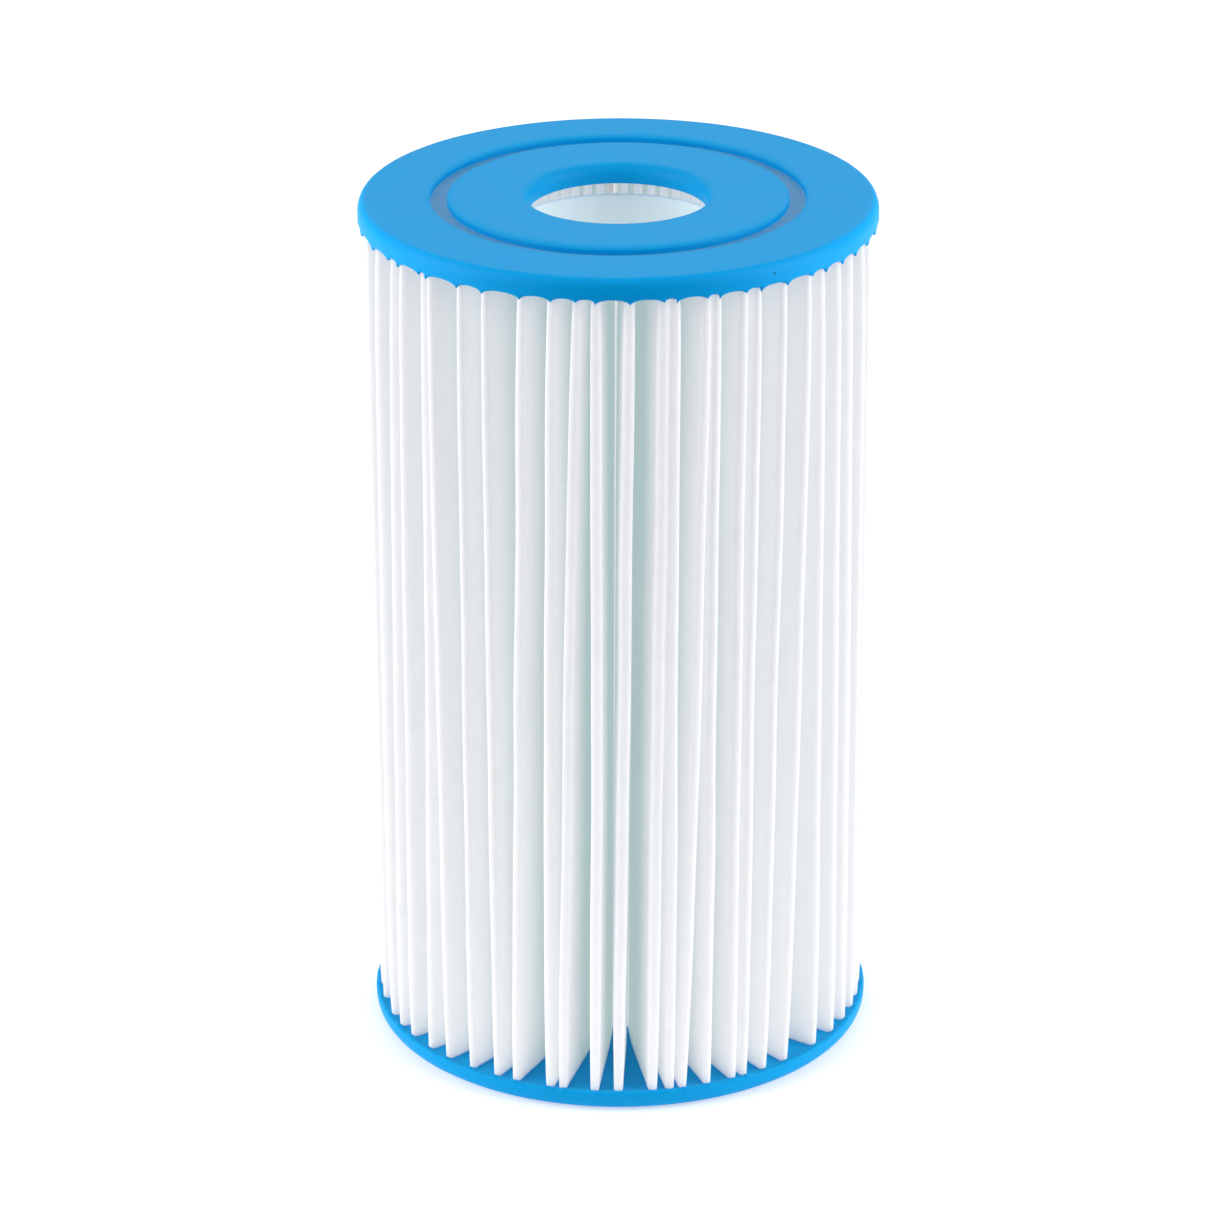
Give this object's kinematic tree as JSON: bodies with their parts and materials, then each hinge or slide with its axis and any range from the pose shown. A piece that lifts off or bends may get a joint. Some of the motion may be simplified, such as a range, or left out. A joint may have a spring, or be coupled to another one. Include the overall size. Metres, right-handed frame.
{
  "type": "filter cartridge",
  "caption": "Pleated cylindrical filter cartridge with two cast round end caps, an open bore through both and a windowed core inside.",
  "frame": {"origin": "on the bore's axis, at the face that the cartridge stands on", "axes": "+Z along the bore from the bottom cap to the top cap, -Y towards the front"},
  "size_m": [0.147, 0.147, 0.254],
  "materials": {
    "cast_polyurethane": "satin, slightly mottled casting",
    "spunbond_polyester": "matt nonwoven",
    "hot_melt_adhesive": "waxy",
    "natural_polypropylene": "smooth, slightly translucent"
  },
  "bodies": {
    "root": {"bottom_end_cap": "cast_polyurethane", "top_end_cap": "cast_polyurethane", "pleated_media": "spunbond_polyester", "seam_bead": "hot_melt_adhesive", "inner_core": "natural_polypropylene"}
  },
  "joints": []
}
